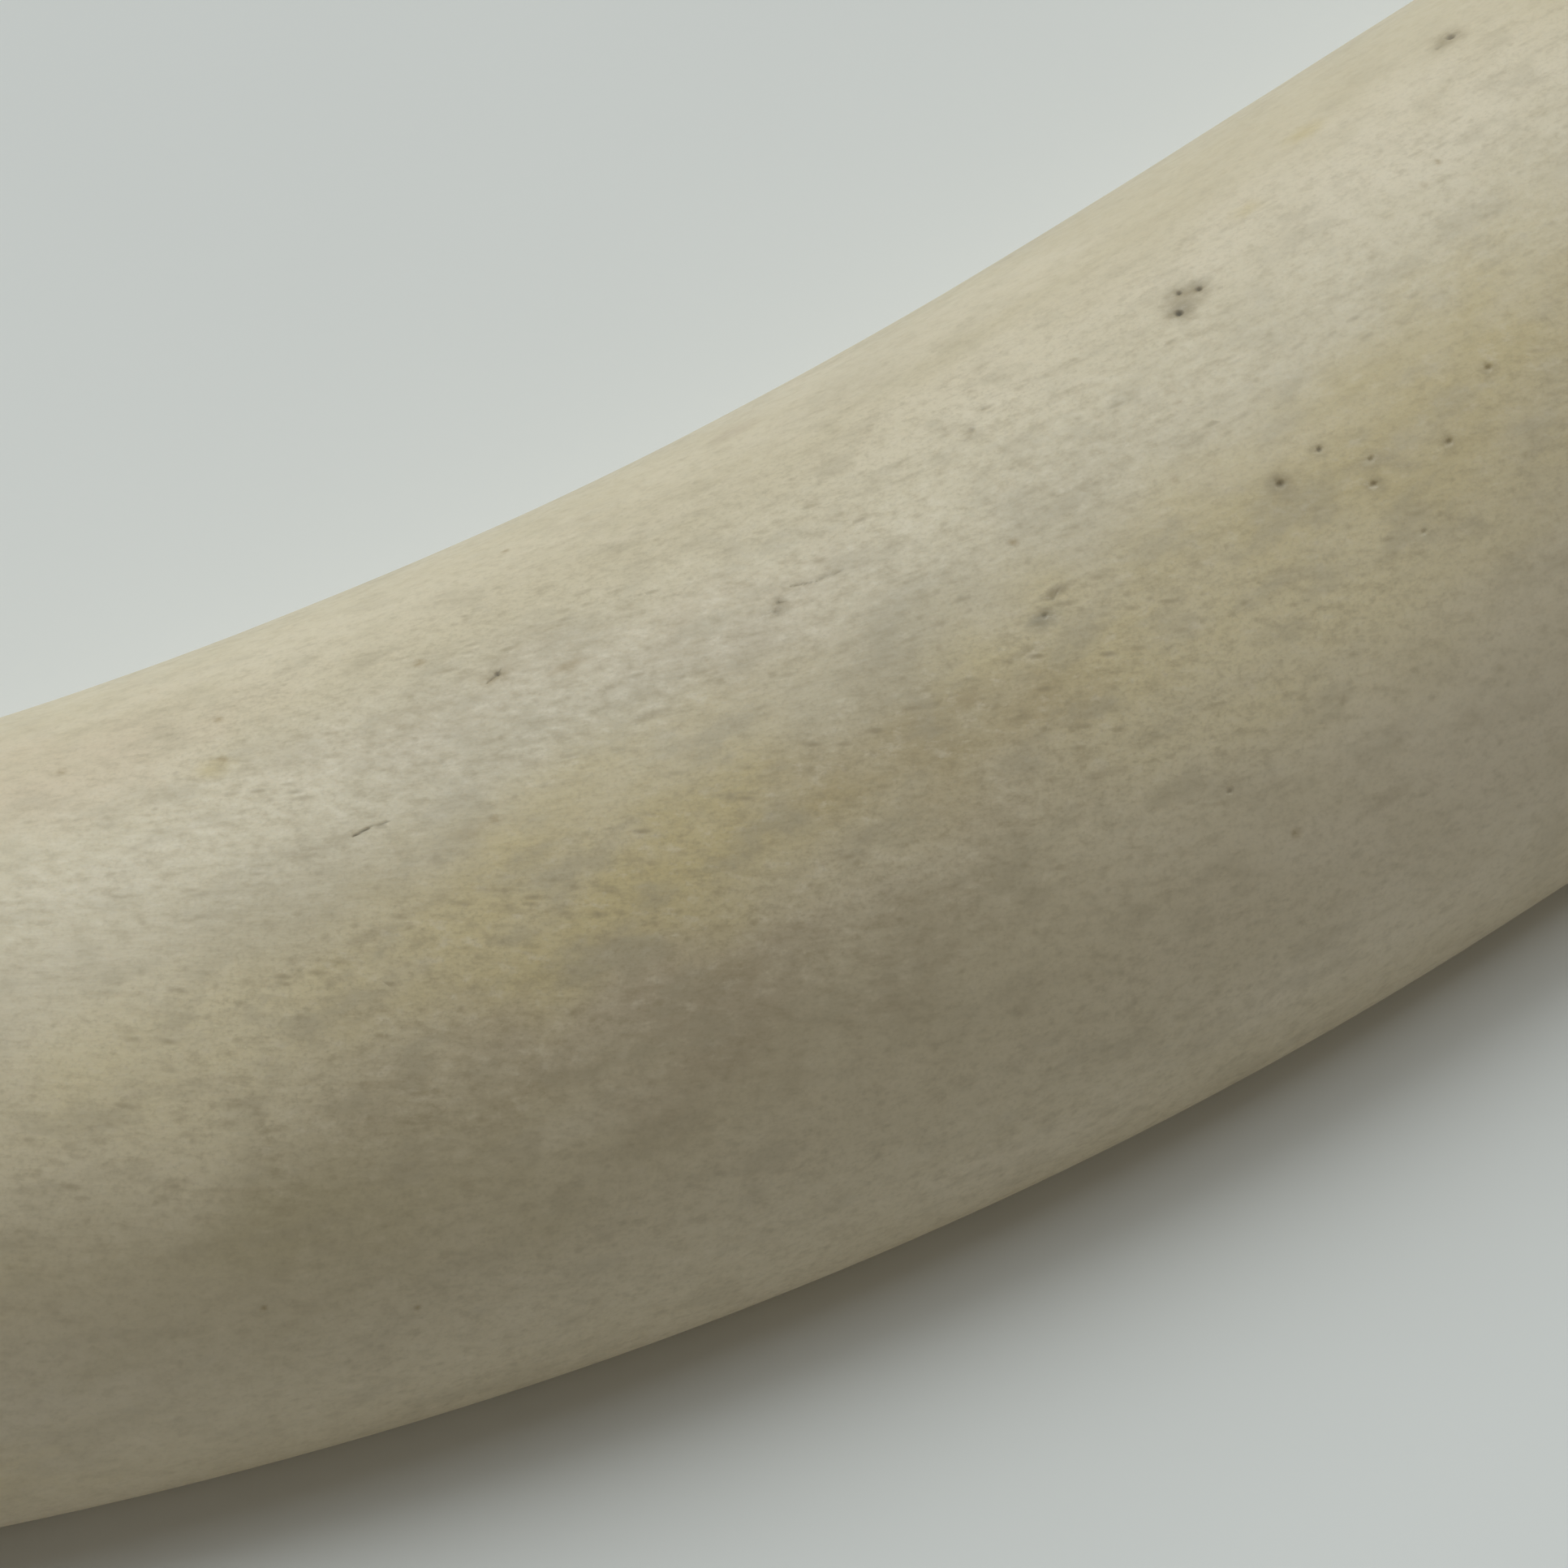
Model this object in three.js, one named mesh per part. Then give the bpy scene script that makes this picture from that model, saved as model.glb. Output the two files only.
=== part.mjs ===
// Bone folder: a creasing and burnishing tool for paper, carved from one piece of bone.
// It is a bar that bends sideways, with a domed front and a flat back. It is widest and thickest
// at the belly, and thins towards a slim creasing tip at one end and a broad butt at the other.
//
// Millimetres. +Z points out of the domed front, and the flat back lies at z = 0. The straight line
// from the tip (-X) to the butt (+X) runs along X, the hollow side of the bend faces +Y, and the
// origin is the middle of the rectangle that the folder covers when it lies on its back.

import * as THREE from 'three';
import { LoftGeometry } from 'three/addons/geometries/LoftGeometry.js';

// Length, measured along the middle line from the belly's widest place
const TIP_REACH = 110;
const BUTT_REACH = 45;

// Width and thickness at the belly, and what they taper to at the two ends
const BELLY_WIDTH = 20;
const BELLY_THICKNESS = 9;
const TIP_WIDTH = 6;
const TIP_THICKNESS = 2.4;
const BUTT_WIDTH = 13;
const BUTT_THICKNESS = 4;

// Rounding: the length over which each end closes, and the round along the edges of the back
const TIP_NOSE = 4;
const BUTT_NOSE = 6;
const BACK_EDGE_RADIUS = 1.2;

// Bend: the middle line is three arcs that run into each other, and the middle one is the tightest
const TIP_BEND_RADIUS = 160;
const BELLY_BEND_RADIUS = 90;
const BUTT_BEND_RADIUS = 300;
const BELLY_BEND_LENGTH = 45;
const BELLY_BEND_TO_WIDEST = 10; // end of the tight arc to the widest place

// Fineness of the surface
const STATION_STEP = 3; // spacing of the sections along the middle line
const NOSE_STEPS = 6; // sections in each rounded end
const DOME_STEPS = 24; // straight sides round the domed front
const EDGE_STEPS = 4; // straight sides round each edge of the back
const END_CAP_ANGLE = THREE.MathUtils.degToRad(8); // the ends stop here, at a cap under 1 mm across

const BONE = { color: 0xd3c8ae, roughness: 0.42, metalness: 0 };

const LENGTH = TIP_REACH + BUTT_REACH;
const BENDS = [
	{ length: TIP_REACH - BELLY_BEND_TO_WIDEST - BELLY_BEND_LENGTH, radius: TIP_BEND_RADIUS },
	{ length: BELLY_BEND_LENGTH, radius: BELLY_BEND_RADIUS },
	{ length: BELLY_BEND_TO_WIDEST + BUTT_REACH, radius: BUTT_BEND_RADIUS },
];

// Point and heading of the middle line at a distance from the tip's end, one arc after another.
function middleLineAt(distance) {
	let x = 0;
	let y = 0;
	let heading = 0;
	let left = distance;
	for (const { length, radius } of BENDS) {
		const run = Math.min(left, length);
		const turned = heading + run / radius;
		x += radius * (Math.sin(turned) - Math.sin(heading));
		y += radius * (Math.cos(heading) - Math.cos(turned));
		heading = turned;
		left -= run;
	}
	return { x, y, heading };
}

// A size that is largest at the belly and falls along a parabola to its value at either end.
function tapered(distance, atTip, atBelly, atButt) {
	const fromBelly = distance - TIP_REACH;
	const atEnd = fromBelly < 0 ? atTip : atButt;
	const reach = fromBelly < 0 ? TIP_REACH : BUTT_REACH;
	return atEnd + (atBelly - atEnd) * (1 - (fromBelly / reach) ** 2);
}

// How far an end has closed, from 1 where its rounding starts to 0 at its very end.
function noseRounding(distanceToEnd, nose) {
	const intoNose = Math.max(0, 1 - distanceToEnd / nose);
	return Math.sqrt(1 - intoNose ** 2);
}

// Outline of the cross-section: x across the folder, y up from the flat back.
function sectionOutline(halfWidth, thickness) {
	const edge = Math.min(BACK_EDGE_RADIUS, thickness / 3, halfWidth / 3);
	const edgeCentre = halfWidth - edge;
	const { PI } = Math;
	const dome = new THREE.EllipseCurve(0, edge, halfWidth, thickness - edge, 0, PI);
	const farEdge = new THREE.EllipseCurve(-edgeCentre, edge, edge, edge, PI, 1.5 * PI);
	const nearEdge = new THREE.EllipseCurve(edgeCentre, edge, edge, edge, 1.5 * PI, 2 * PI);
	return [
		...dome.getPoints(DOME_STEPS),
		...farEdge.getPoints(EDGE_STEPS).slice(1),
		...nearEdge.getPoints(EDGE_STEPS).slice(0, -1),
	];
}

// One cross-section of the folder, stood upright across the middle line.
function sectionAt(distance) {
	const closed = noseRounding(distance, TIP_NOSE) * noseRounding(LENGTH - distance, BUTT_NOSE);
	const width = tapered(distance, TIP_WIDTH, BELLY_WIDTH, BUTT_WIDTH) * closed;
	const thickness = tapered(distance, TIP_THICKNESS, BELLY_THICKNESS, BUTT_THICKNESS) * closed;
	const { x, y, heading } = middleLineAt(distance);
	return sectionOutline(width / 2, thickness).map((point) => new THREE.Vector3(
		x - Math.sin(heading) * point.x,
		y + Math.cos(heading) * point.x,
		point.y,
	));
}

// Distances of the sections from the tip's end: even along the bar, and closing up in the noses.
function stations() {
	const noseTurns = [];
	for (let step = 0; step < NOSE_STEPS; step++) {
		const angle = THREE.MathUtils.lerp(END_CAP_ANGLE, Math.PI / 2, step / NOSE_STEPS);
		noseTurns.push(1 - Math.cos(angle));
	}
	const barSteps = Math.round((LENGTH - TIP_NOSE - BUTT_NOSE) / STATION_STEP);
	const bar = [];
	for (let step = 0; step <= barSteps; step++) {
		bar.push(THREE.MathUtils.lerp(TIP_NOSE, LENGTH - BUTT_NOSE, step / barSteps));
	}
	return [
		...noseTurns.map((turn) => TIP_NOSE * turn),
		...bar,
		...noseTurns.map((turn) => LENGTH - BUTT_NOSE * turn).reverse(),
	];
}

// The blade, turned so that its chord lies along X and set down with the origin under its middle.
function makeBlade() {
	const sections = stations().map(sectionAt);
	const geometry = new LoftGeometry(sections, { capStart: true, capEnd: true });
	const buttEnd = middleLineAt(LENGTH);
	geometry.rotateZ(-Math.atan2(buttEnd.y, buttEnd.x));
	geometry.computeBoundingBox();
	const middle = geometry.boundingBox.getCenter(new THREE.Vector3());
	geometry.translate(-middle.x, -middle.y, 0);
	const blade = new THREE.Mesh(geometry, new THREE.MeshStandardMaterial(BONE));
	blade.name = 'bone_blade';
	return blade;
}

const boneFolder = new THREE.Group();
boneFolder.add(makeBlade());

export default boneFolder;
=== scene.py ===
"""Bone folder: a curved creasing and burnishing tool, carved from one piece of bone.

The bar is modelled straight, with its pores and cracks, and is then bent along its middle line.
Metres, +Z up out of the domed front, +X from the creasing tip to the butt.
"""

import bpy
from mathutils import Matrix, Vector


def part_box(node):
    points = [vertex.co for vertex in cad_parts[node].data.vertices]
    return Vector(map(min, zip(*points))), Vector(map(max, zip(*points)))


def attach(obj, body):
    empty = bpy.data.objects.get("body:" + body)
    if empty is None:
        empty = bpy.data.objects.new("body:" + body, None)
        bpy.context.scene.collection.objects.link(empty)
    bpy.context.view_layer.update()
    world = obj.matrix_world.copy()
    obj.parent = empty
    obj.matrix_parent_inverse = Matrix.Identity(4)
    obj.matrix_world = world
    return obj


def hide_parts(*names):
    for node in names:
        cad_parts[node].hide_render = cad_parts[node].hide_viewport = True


bl_info = {
    "name": "Bone Folder",
    "version": (1, 0, 0),
    "blender": (4, 5, 0),
    "location": "View3D > Sidebar > Bone Folder",
    "description": "Carves a curved bone folder and sets a small pale stage round it",
    "category": "Object",
}

import math
import random

import bmesh
import bpy
import numpy as np
from mathutils import Vector, noise

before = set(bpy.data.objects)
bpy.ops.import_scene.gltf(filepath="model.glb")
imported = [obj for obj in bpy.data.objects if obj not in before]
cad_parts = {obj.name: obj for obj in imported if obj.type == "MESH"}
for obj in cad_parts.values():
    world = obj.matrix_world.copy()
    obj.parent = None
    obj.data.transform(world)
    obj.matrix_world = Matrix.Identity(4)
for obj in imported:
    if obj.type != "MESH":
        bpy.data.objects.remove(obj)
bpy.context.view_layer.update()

BLADE_NODE = "bone_blade"
BACK_LOW, FRONT_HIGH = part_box(BLADE_NODE)

MM = 0.001

# Fineness of the mesh
DOME_SIDES = 52  # straight sides round the domed front
EDGE_SIDES = 5  # straight sides round each edge of the back
BACK_SIDES = 24  # strips across the flat back
STATION_STEP = 0.8 * MM  # spacing of the sections along the bar
NOSE_STEPS = 12  # sections in each rounded end
END_ANGLE = math.radians(3)  # the last section before an end, as a turn of the nose's quarter circle
LINE_STEP = 0.5 * MM  # spacing of the points along the middle line

# Places on the bar are given as a distance from the tip's end and a distance across the bar towards
# the hollow side of the bend, in millimetres.
FRONT, BACK = 1, -1

# The mouths of the bone's vessels: distance, across, radius, and how dark their floors are painted, with dirt and with
# the painted shade of a deep hole
PORES = (
    (111.4, 6.3, 0.12, 0.65),
    (110.9, 6.2, 0.07, 0.25),
    (101.7, 3.7, 0.08, 0.85),
    (101.3, 3.9, 0.07, 0.80),
    (100.9, 3.4, 0.10, 0.95),
    (95.8, 3.9, 0.05, 0.25),
    (95.2, 3.5, 0.08, 0.30),
    (99.8, -1.6, 0.10, 0.45),
    (101.0, -1.4, 0.07, 0.70),
    (101.8, -2.2, 0.07, 0.20),
    (101.5, -2.7, 0.08, 0.20),
    (103.5, -2.8, 0.08, 0.22),
    (101.8, -4.1, 0.06, 0.22),
    (105.3, -1.9, 0.08, 0.22),
    (93.8, -1.5, 0.06, 0.40),
    (94.15, -1.25, 0.04, 0.35),
    (89.1, 1.7, 0.05, 0.60),
    (88.9, 1.5, 0.05, 0.30),
    (82.9, 3.0, 0.07, 0.80),
    (95.3, -6.4, 0.07, 0.18),
)

# Hairline cracks along the grain: the two ends, the half width and how dark they are painted, with dirt and with
# painted shade
CRACKS = (
    ((89.5, 1.95), (90.1, 1.75), 0.020, 0.40),
    ((90.0, 1.78), (90.9, 1.7), 0.018, 0.25),
    ((78.5, 0.38), (79.0, 0.45), 0.024, 0.80),
    ((78.9, 0.46), (79.4, 0.42), 0.020, 0.45),
    ((82.6, 2.88), (82.9, 3.0), 0.028, 0.50),
    ((82.9, 3.0), (83.05, 3.12), 0.024, 0.45),
    ((94.1, -1.3), (94.5, -1.05), 0.022, 0.22),
)

# Flat brown specks: distance, across, radius
SPECKS = (
    (81.5, 4.2, 0.18),
    (76.9, 4.7, 0.14),
    (76.6, 3.5, 0.14),
    (73.2, 4.7, 0.15),
    (81.4, -0.4, 0.12),
    (99.3, 1.3, 0.12),
    (98.0, -0.2, 0.14),
    (94.2, 0.4, 0.14),
    (96.2, -7.6, 0.14),
    (84.8, 6.8, 0.13),
    (108.1, 3.1, 0.13),
    (107.4, 2.8, 0.12),
    (76.7, -8.4, 0.09),
    (73.9, -7.7, 0.08),
)

# Soft stains in the dome, with some painted highlights and painted shade among them: distance, across, half length,
# half width, colour, strength
STAINS_AND_PAINTED_LIGHT = (
    (83.0, -2.6, 8.0, 2.3, "ochre", 0.92),
    (80.5, -2.8, 5.0, 1.5, "straw", 0.35),
    (94.0, -3.0, 4.5, 2.2, "ochre", 0.60),
    (95.2, -2.6, 2.4, 2.4, "straw", 0.40),
    (101.5, -2.8, 6.0, 2.2, "ochre", 0.65),
    (108.0, -1.6, 5.0, 2.8, "ochre", 0.60),
    (84.0, -0.4, 7.0, 1.0, "ochre", 0.35),
    (99.5, -1.2, 9.0, 1.6, "ochre", 0.45),
    (106.5, -1.0, 4.5, 2.2, "ochre", 0.45),
    (102.0, -5.6, 5.0, 1.5, "ochre", 0.25),
    (88.8, -2.6, 2.4, 1.5, "brown", 0.45),
    (92.0, -2.9, 1.4, 0.9, "brown", 0.40),
    (86.0, -5.2, 1.8, 0.6, "brown", 0.25),
    (77.5, -3.6, 2.4, 0.6, "brown", 0.20),
    (90.4, -0.8, 2.4, 1.9, "grey", 0.75),
    (95.0, -0.6, 3.0, 1.2, "grey", 0.20),
    (91.6, -4.2, 2.0, 1.3, "mauve", 0.40),
    (82.5, -5.6, 8.0, 1.7, "mauve", 0.70),
    (83.0, 2.5, 8.0, 1.1, "mauve", 0.35),
    (87.5, 1.2, 3.5, 2.0, "mauve", 0.40),
    # Painted shade, partly a greenish stain: darkens the outer side's slope towards the tip
    (76.0, -6.6, 8.0, 2.0, "olive", 0.55),
    (86.5, -6.2, 5.0, 1.8, "grey", 0.40),
    (78.2, -0.5, 3.6, 1.6, "grey", 0.40),
    (84.0, 1.2, 7.0, 1.6, "grey", 0.45),
    (82.0, 3.2, 5.0, 1.4, "grey", 0.45),
    (88.0, 5.0, 7.0, 1.6, "grey", 0.15),
    (95.5, 0.8, 2.4, 1.4, "grey", 0.30),
    (94.5, 7.0, 4.0, 1.4, "grey", 0.35),
    # Greys a long strip along the hollow side's edge, over most of the bar
    (90.0, 9.4, 45.0, 1.8, "grey", 0.35),
    (73.5, 4.8, 5.0, 1.8, "blush", 0.50),
    # Painted highlight, partly pale bone: this patch and the one at 110 mm lighten the broad sheen of the lights near
    # the hollow side's edge
    (107.0, 4.2, 6.0, 2.4, "chalk", 0.85),
    (95.0, 4.6, 6.0, 1.2, "chalk", 0.35),
    (83.0, 2.2, 2.5, 0.5, "chalk", 0.25),
    # Painted light: lightens the outer side's slope towards the butt
    (101.0, -7.4, 11.0, 2.6, "chalk", 0.80),
    (71.5, -3.0, 4.5, 3.2, "chalk", 0.85),
    (73.0, -3.0, 5.0, 2.2, "straw", 0.85),
    (81.0, 6.2, 6.0, 1.5, "chalk", 0.50),
    # Painted highlight, partly pale bone, as at 107 mm
    (110.0, 4.8, 7.0, 2.2, "chalk", 0.80),
    # Painted highlight: a thin pale strip along the low edge of the outer side, where light from the paper catches the
    # rim
    (86.0, -8.2, 12.0, 0.9, "chalk", 0.20),
    (98.5, -4.6, 6.5, 1.9, "straw", 0.85),
    # Painted highlight along the same low edge, towards the butt
    (101.0, -8.2, 7.0, 1.3, "chalk", 0.80),
)

STAIN_BLOTS = ((1.8, 0.30), (0.9, 0.18))  # size of the wandering of the edges, its weight
STAIN_WANDER = (6.0, 2.6, 0.0)
STAIN_EDGE = (0.1, 1.3)  # in the stain's own half sizes, full strength within and nothing beyond

# Small smudges: the same, with crisper edges
SMUDGES = (
    (101.3, 3.65, 0.75, 0.45, "fibre", 0.60),
    (101.0, 3.45, 0.40, 0.25, "pore", 0.30),
    (101.8, 3.85, 0.40, 0.18, "pore", 0.20),
    (111.2, 6.25, 0.60, 0.25, "fibre", 0.45),
    (93.75, -1.55, 0.45, 0.26, "pore", 0.50),
    (94.3, -1.15, 0.50, 0.14, "fibre", 0.80),
    (93.0, -2.0, 0.50, 0.12, "fibre", 0.50),
    (99.8, -1.6, 0.40, 0.32, "fibre", 0.60),
    (101.9, -2.3, 0.50, 0.26, "fibre", 0.45),
    (101.5, -2.7, 0.30, 0.26, "fibre", 0.45),
    (103.5, -2.8, 0.28, 0.24, "fibre", 0.40),
    (105.3, -1.9, 0.26, 0.22, "fibre", 0.35),
    (85.4, 0.45, 0.60, 0.12, "fibre", 0.50),
    (90.0, 1.75, 0.90, 0.12, "fibre", 0.30),
    (88.9, 1.5, 0.55, 0.22, "fibre", 0.60),
    (82.8, 2.95, 0.50, 0.20, "brown", 0.50),
    (84.35, 2.45, 0.50, 0.16, "brown", 0.60),
    (80.9, -0.5, 0.60, 0.16, "brown", 0.40),
    (78.2, -1.9, 0.70, 0.18, "fibre", 0.40),
    (77.4, -2.2, 0.60, 0.14, "fibre", 0.35),
    (79.4, -1.7, 0.80, 0.16, "fibre", 0.30),
    (91.4, -2.3, 0.45, 0.28, "brown", 0.40),
    (76.4, 3.35, 0.50, 0.34, "ochre", 0.60),
    (91.2, 7.4, 0.80, 0.26, "mauve", 0.50),
    (106.9, 6.2, 0.70, 0.30, "ochre", 0.50),
    (104.1, 5.0, 0.50, 0.24, "ochre", 0.40),
    (84.5, -5.3, 0.90, 0.30, "fibre", 0.30),
    (98.2, -7.9, 0.80, 0.14, "fibre", 0.30),
)

# The grain runs straighter than the bar. Its slope across the bar:
GRAIN_SLOPE = 0.08  # on the hollow side, near the butt
GRAIN_SLOPE_MORE = 0.22  # more than that towards the tip
GRAIN_EASING = (88, 20)  # distance at which the extra slope fades, and over how much
GRAIN_TURN_OUTER = math.radians(26)  # on the outer side

# Pores and specks that nature scatters over the rest of the bar
SCATTER_SEED = 7
KNOWN_STRETCH = (70, 113)  # the front is described above over this range of distances
FRONT_SCATTER = 34
BACK_SCATTER = 46

PORE_DEPTH = 0.55  # in radii
CRACK_DEPTH = 0.8
CRACK_TIP = 0.3  # width at a crack's ends, as a share of its width
HALO_REACH = 5.0  # reach of the grey shade round a pore, in radii
REFINING = ((0.75 * MM, 0.0, 3), (0.05 * MM, 1.3, 3))  # reach, radii added to it, cuts
CARVING_RELIEF = 0.05 * MM  # height of the soft waves that carving and sanding leave on the dome
CARVING_WAVE = 7 * MM


class FolderSizes(bpy.types.PropertyGroup):
    """Sizes of the blade."""

    tip_reach: bpy.props.FloatProperty(
        name="Tip reach",
        description="Belly's widest place to the end of the creasing tip, along the middle line",
        default=110 * MM, unit="LENGTH",
    )
    butt_reach: bpy.props.FloatProperty(
        name="Butt reach",
        description="Belly's widest place to the end of the butt, along the middle line",
        default=45 * MM, unit="LENGTH",
    )
    belly_width: bpy.props.FloatProperty(
        name="Belly width", description="Greatest width", default=20 * MM, unit="LENGTH",
    )
    belly_thickness: bpy.props.FloatProperty(
        name="Belly thickness",
        description="Greatest thickness, from the flat back to the top of the dome",
        default=FRONT_HIGH.z - BACK_LOW.z, unit="LENGTH",
    )
    tip_width: bpy.props.FloatProperty(
        name="Tip width", description="Width that the tip tapers to", default=6 * MM, unit="LENGTH",
    )
    tip_thickness: bpy.props.FloatProperty(
        name="Tip thickness", description="Thickness that the tip tapers to",
        default=2.4 * MM, unit="LENGTH",
    )
    butt_width: bpy.props.FloatProperty(
        name="Butt width", description="Width that the butt tapers to",
        default=13 * MM, unit="LENGTH",
    )
    butt_thickness: bpy.props.FloatProperty(
        name="Butt thickness", description="Thickness that the butt tapers to",
        default=4 * MM, unit="LENGTH",
    )
    tip_nose: bpy.props.FloatProperty(
        name="Tip nose", description="Length over which the tip closes", default=4 * MM, unit="LENGTH",
    )
    butt_nose: bpy.props.FloatProperty(
        name="Butt nose", description="Length over which the butt closes",
        default=6 * MM, unit="LENGTH",
    )
    back_edge_radius: bpy.props.FloatProperty(
        name="Back edge radius", description="Round along the edges of the flat back",
        default=1.2 * MM, unit="LENGTH",
    )
    tip_bend_radius: bpy.props.FloatProperty(
        name="Tip bend", description="Radius of the middle line towards the tip",
        default=160 * MM, unit="LENGTH",
    )
    belly_bend_radius: bpy.props.FloatProperty(
        name="Belly bend", description="Radius of the middle line's tightest stretch",
        default=90 * MM, unit="LENGTH",
    )
    butt_bend_radius: bpy.props.FloatProperty(
        name="Butt bend", description="Radius of the middle line towards the butt",
        default=300 * MM, unit="LENGTH",
    )
    belly_bend_length: bpy.props.FloatProperty(
        name="Belly bend length", description="Length of the tightest stretch",
        default=45 * MM, unit="LENGTH",
    )
    belly_bend_to_widest: bpy.props.FloatProperty(
        name="Belly bend to widest", description="End of the tightest stretch to the widest place",
        default=10 * MM, unit="LENGTH",
    )


def colour_setting(name, description, default):
    """A colour that the user can change."""
    return bpy.props.FloatVectorProperty(
        name=name, description=description, default=default, subtype="COLOR", min=0, max=1)


class BoneFinish(bpy.types.PropertyGroup):
    """Colours and polish of the bone."""

    cream: colour_setting("Cream", "Clean polished bone", (0.70, 0.60, 0.43))
    chalk: colour_setting("Chalk", "Palest streaks", (0.80, 0.695, 0.535))
    straw: colour_setting("Straw", "Pale yellow streaks", (0.79, 0.67, 0.44))
    ochre: colour_setting("Ochre", "Stains left by fat in the bone", (0.63, 0.50, 0.245))
    olive: colour_setting("Olive", "Greenish stains", (0.53, 0.45, 0.28))
    grey: colour_setting("Grey", "Cloudy grey patches", (0.495, 0.42, 0.295))
    mauve: colour_setting("Mauve", "Grey patches with a little red", (0.53, 0.42, 0.30))
    blush: colour_setting("Blush", "Pinkish cream", (0.77, 0.62, 0.47))
    brown: colour_setting("Brown", "Specks and small brown stains", (0.40, 0.29, 0.15))
    # Besides dirt, the pore colour paints the shade in the floors of the shallow pits and cracks, which stand in for
    # deep holes
    pore: colour_setting("Pore", "Dirt at the bottom of pores and cracks", (0.10, 0.085, 0.06))
    fibre: colour_setting("Fibre", "Short dark fibres in the grain", (0.37, 0.29, 0.175))
    roughness: bpy.props.FloatProperty(
        name="Roughness", description="Roughness of the hand polish",
        subtype="FACTOR", min=0, max=1, default=0.45,
    )


class StudioSetup(bpy.types.PropertyGroup):
    """Paper, lights and camera."""

    paper: colour_setting("Paper", "Colour of the paper that the folder lies on", (0.865, 0.865, 0.86))
    surround: bpy.props.FloatProperty(
        name="Surround", description="Strength of the light from all round", default=0.125, min=0,
    )
    window_light: bpy.props.FloatProperty(
        name="Window light", description="Strength of the two broad lights beyond the folder",
        default=2.43, min=0,
    )
    wall_light: bpy.props.FloatProperty(
        name="Wall light", description="Strength of the low light from the camera's side", default=0.22, min=0,
    )
    window_width: bpy.props.FloatProperty(
        name="Window width", description="How wide each broad light looks from the folder",
        subtype="ANGLE", default=math.radians(40),
    )
    window_height: bpy.props.FloatProperty(
        name="Window height", description="Height of the broad lights above the horizon",
        subtype="ANGLE", default=math.radians(44),
    )
    camera_turn: bpy.props.FloatProperty(
        name="Camera turn", description="Direction that the camera looks from, round the folder",
        subtype="ANGLE", default=math.radians(-19.6),
    )
    camera_height: bpy.props.FloatProperty(
        name="Camera height", description="Angle of the camera above the table",
        subtype="ANGLE", default=math.radians(60),
    )
    camera_distance: bpy.props.FloatProperty(
        name="Camera distance", description="Distance from the point aimed at",
        default=130 * MM, unit="LENGTH",
    )
    camera_aim: bpy.props.FloatVectorProperty(
        name="Camera aim", description="Point that the camera looks at",
        subtype="TRANSLATION", default=(10.135 * MM, -8.596 * MM, 5 * MM),
    )
    camera_lens: bpy.props.FloatProperty(
        name="Lens", description="Focal length on a sensor 36 mm wide", default=137.8,
    )


def enter_edit(piece):
    """Open one piece alone for editing, with nothing selected."""
    if bpy.context.object is not None and bpy.context.object.mode == "EDIT":
        bpy.ops.object.mode_set(mode="OBJECT")
    bpy.ops.object.select_all(action="DESELECT")
    piece.select_set(True)
    bpy.context.view_layer.objects.active = piece
    bpy.ops.object.mode_set(mode="EDIT")
    bpy.ops.mesh.select_mode(type="VERT")
    bpy.ops.mesh.select_all(action="DESELECT")


def select_vertices(piece, wanted):
    """Select the vertices whose place passes a test."""
    bpy.ops.mesh.select_mode(type="VERT")
    bpy.ops.mesh.select_all(action="DESELECT")
    mesh = bmesh.from_edit_mesh(piece.data)
    for vertex in mesh.verts:
        vertex.select_set(wanted(vertex.co))
    mesh.select_flush(True)
    bmesh.update_edit_mesh(piece.data)


def select_faces_near(piece, distance_to, reach):
    """Select the faces whose middle lies within reach of some place, as distance_to measures it."""
    bpy.ops.mesh.select_mode(type="FACE")
    bpy.ops.mesh.select_all(action="DESELECT")
    mesh = bmesh.from_edit_mesh(piece.data)
    middles = np.array([face.calc_center_median() for face in mesh.faces])
    near = distance_to(middles) < reach
    for face, chosen in zip(mesh.faces, near):
        face.select_set(bool(chosen))
    bmesh.update_edit_mesh(piece.data)


def smooth_step(value, low, high):
    """0 below low, 1 above high and an even curve between them."""
    share = np.clip((value - low) / (high - low), 0.0, 1.0)
    return share * share * (3 - 2 * share)


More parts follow.
